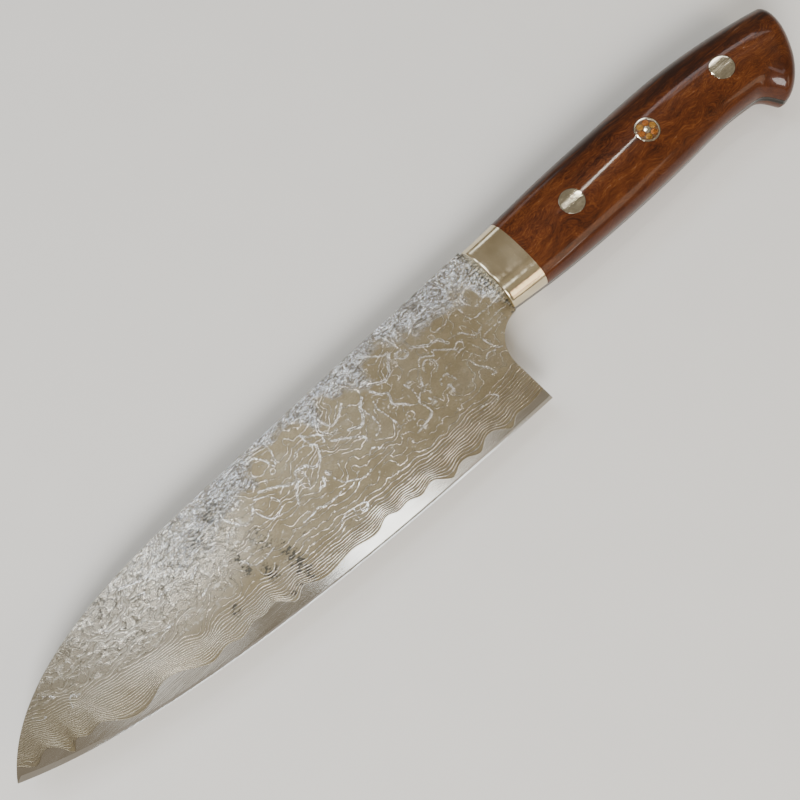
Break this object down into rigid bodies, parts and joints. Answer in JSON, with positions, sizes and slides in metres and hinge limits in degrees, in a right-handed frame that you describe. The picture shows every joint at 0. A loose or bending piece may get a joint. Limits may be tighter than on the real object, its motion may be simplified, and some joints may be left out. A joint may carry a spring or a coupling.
{
  "type": "santoku knife",
  "caption": "Kitchen knife with a layered blade, wavy core line, full tang, polished bolsters and contoured wooden scales held by flush pins.",
  "frame": {"origin": "middle of the bounding box in X and Y, at the lowest point of the side the knife lies on", "axes": "+X runs along the handle from the point to the butt, +Y from the edge to the spine, +Z out of the left side, up as the knife lies"},
  "size_m": [0.3136, 0.0516, 0.02],
  "materials": {
    "core_steel": "hard core steel, ground along the edge to a fine satin",
    "patterned_steel": "layered nickel and stainless steel, etched so the layers stand out in relief",
    "nickel_silver": "polished nickel silver, a white brass",
    "ironwood": "red-brown figured desert ironwood, buffed to a gloss",
    "brass": "polished yellow brass",
    "copper": "polished copper",
    "dark_resin": "black casting resin, polished with the pin"
  },
  "bodies": {
    "root": {"blade_core": "core_steel", "left_cladding": "patterned_steel", "right_cladding": "patterned_steel", "left_bolster": "nickel_silver", "right_bolster": "nickel_silver", "left_scale": "ironwood", "right_scale": "ironwood", "front_pin": "nickel_silver", "rear_pin": "nickel_silver", "mosaic_tube": "nickel_silver", "mosaic_resin": "dark_resin", "mosaic_centre_rod": "nickel_silver", "mosaic_rod_1": "brass", "mosaic_rod_2": "copper", "mosaic_rod_3": "brass", "mosaic_rod_4": "copper", "mosaic_rod_5": "brass", "mosaic_rod_6": "copper"}
  },
  "joints": []
}
